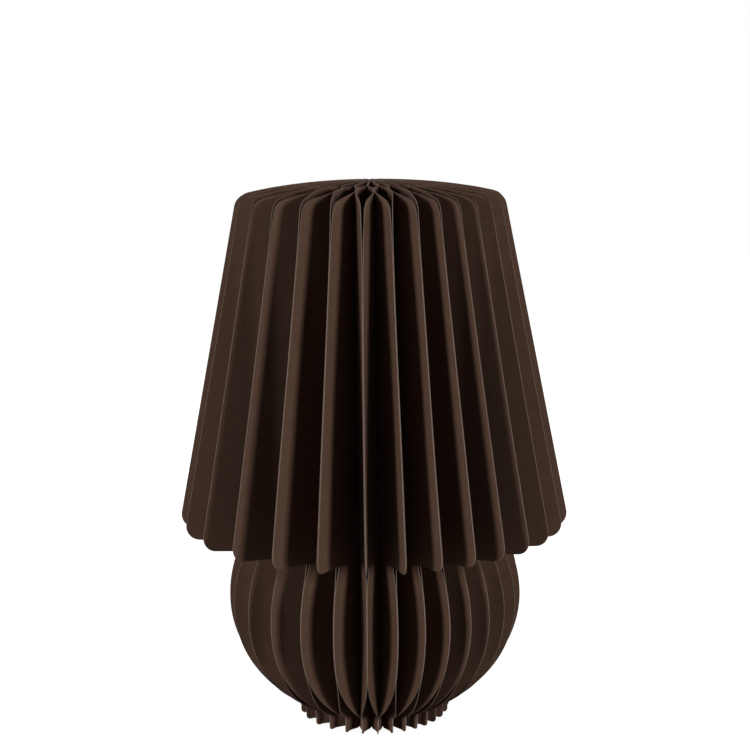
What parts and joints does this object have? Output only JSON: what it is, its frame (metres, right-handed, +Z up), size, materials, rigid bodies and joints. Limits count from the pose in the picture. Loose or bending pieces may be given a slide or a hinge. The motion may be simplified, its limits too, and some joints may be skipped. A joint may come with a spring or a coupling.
{
  "type": "pleated paper table lamp",
  "caption": "Table lamp with a honeycomb paper body of radiating leaves, a sloping shade over a round belly and small foot, standing over an inner stand with a screw lamp.",
  "frame": {"origin": "centre of the foot, on the table", "axes": "+Z up along the lamp's axis, -Y is the front that faces the viewer"},
  "size_m": [0.2846, 0.2854, 0.4],
  "materials": {
    "brown_card": "matt through-dyed card with fine fibre",
    "felt_pad": "pressed wool felt",
    "base_paint": "matt black powder coat on steel",
    "zinc_steel": "bright zinc plate",
    "stem_brass": "satin brass tube",
    "black_plastic": "moulded phenolic plastic, satin",
    "porcelain": "unglazed steatite",
    "contact_brass": "pressed brass sheet",
    "wire_steel": "black lacquered wire",
    "solder_tin": "soldered tin",
    "black_glass": "vitreous insulator, gloss",
    "nickel_cap": "nickel-plated rolled thread",
    "white_plastic": "moulded white plastic, satin",
    "board_aluminium": "white solder-masked aluminium board",
    "chip_resin": "phosphor resin",
    "opal_globe": "opal diffuser"
  },
  "bodies": {
    "stand": {"base_pad": "felt_pad", "base_weight": "base_paint", "foot_nut": "zinc_steel", "foot_washer": "zinc_steel", "inlet_bush": "black_plastic", "stem_tube": "stem_brass", "stem_collar": "stem_brass", "stem_locknut": "zinc_steel", "holder_cap": "black_plastic", "holder_shell": "black_plastic", "holder_insert": "porcelain", "screw_contact": "contact_brass", "centre_contact": "contact_brass", "terminal_screws": "zinc_steel", "holder_ring": "black_plastic", "guard_cage": "wire_steel"},
    "paper_body": {"leaf_01": "brown_card", "leaf_02": "brown_card", "leaf_03": "brown_card", "leaf_04": "brown_card", "leaf_05": "brown_card", "leaf_06": "brown_card", "leaf_07": "brown_card", "leaf_08": "brown_card", "leaf_09": "brown_card", "leaf_10": "brown_card", "leaf_11": "brown_card", "leaf_12": "brown_card", "leaf_13": "brown_card", "leaf_14": "brown_card", "leaf_15": "brown_card", "leaf_16": "brown_card", "leaf_17": "brown_card", "leaf_18": "brown_card", "leaf_19": "brown_card", "leaf_20": "brown_card", "leaf_21": "brown_card", "leaf_22": "brown_card", "leaf_23": "brown_card", "leaf_24": "brown_card", "leaf_25": "brown_card", "leaf_26": "brown_card", "leaf_27": "brown_card", "leaf_28": "brown_card", "leaf_29": "brown_card", "leaf_30": "brown_card"},
    "bulb_lift": {"bulb_tip": "solder_tin"},
    "bulb": {"bulb_insulator": "black_glass", "bulb_screw_cap": "nickel_cap", "bulb_collar": "white_plastic", "led_board": "board_aluminium", "led_chips": "chip_resin", "bulb_globe": "opal_globe"}
  },
  "joints": [
    {"name": "paper_lift", "type": "slide", "parent": "stand", "child": "paper_body", "axis": [0, 0, 1], "range_m": [0, 0.33]},
    {"name": "bulb_rise", "type": "slide", "parent": "stand", "child": "bulb_lift", "axis": [0, 0, 1], "range_m": [0, 0.0085]},
    {"name": "bulb_turn", "type": "hinge", "parent": "bulb_lift", "child": "bulb", "pos_m": [0, 0, 0.23], "axis": [0, 0, 1], "range_deg": [0, 1080]}
  ],
  "couplings": [
    {"joint": "bulb_rise", "follows": "bulb_turn", "m_per_rad": 0.0004488}
  ]
}
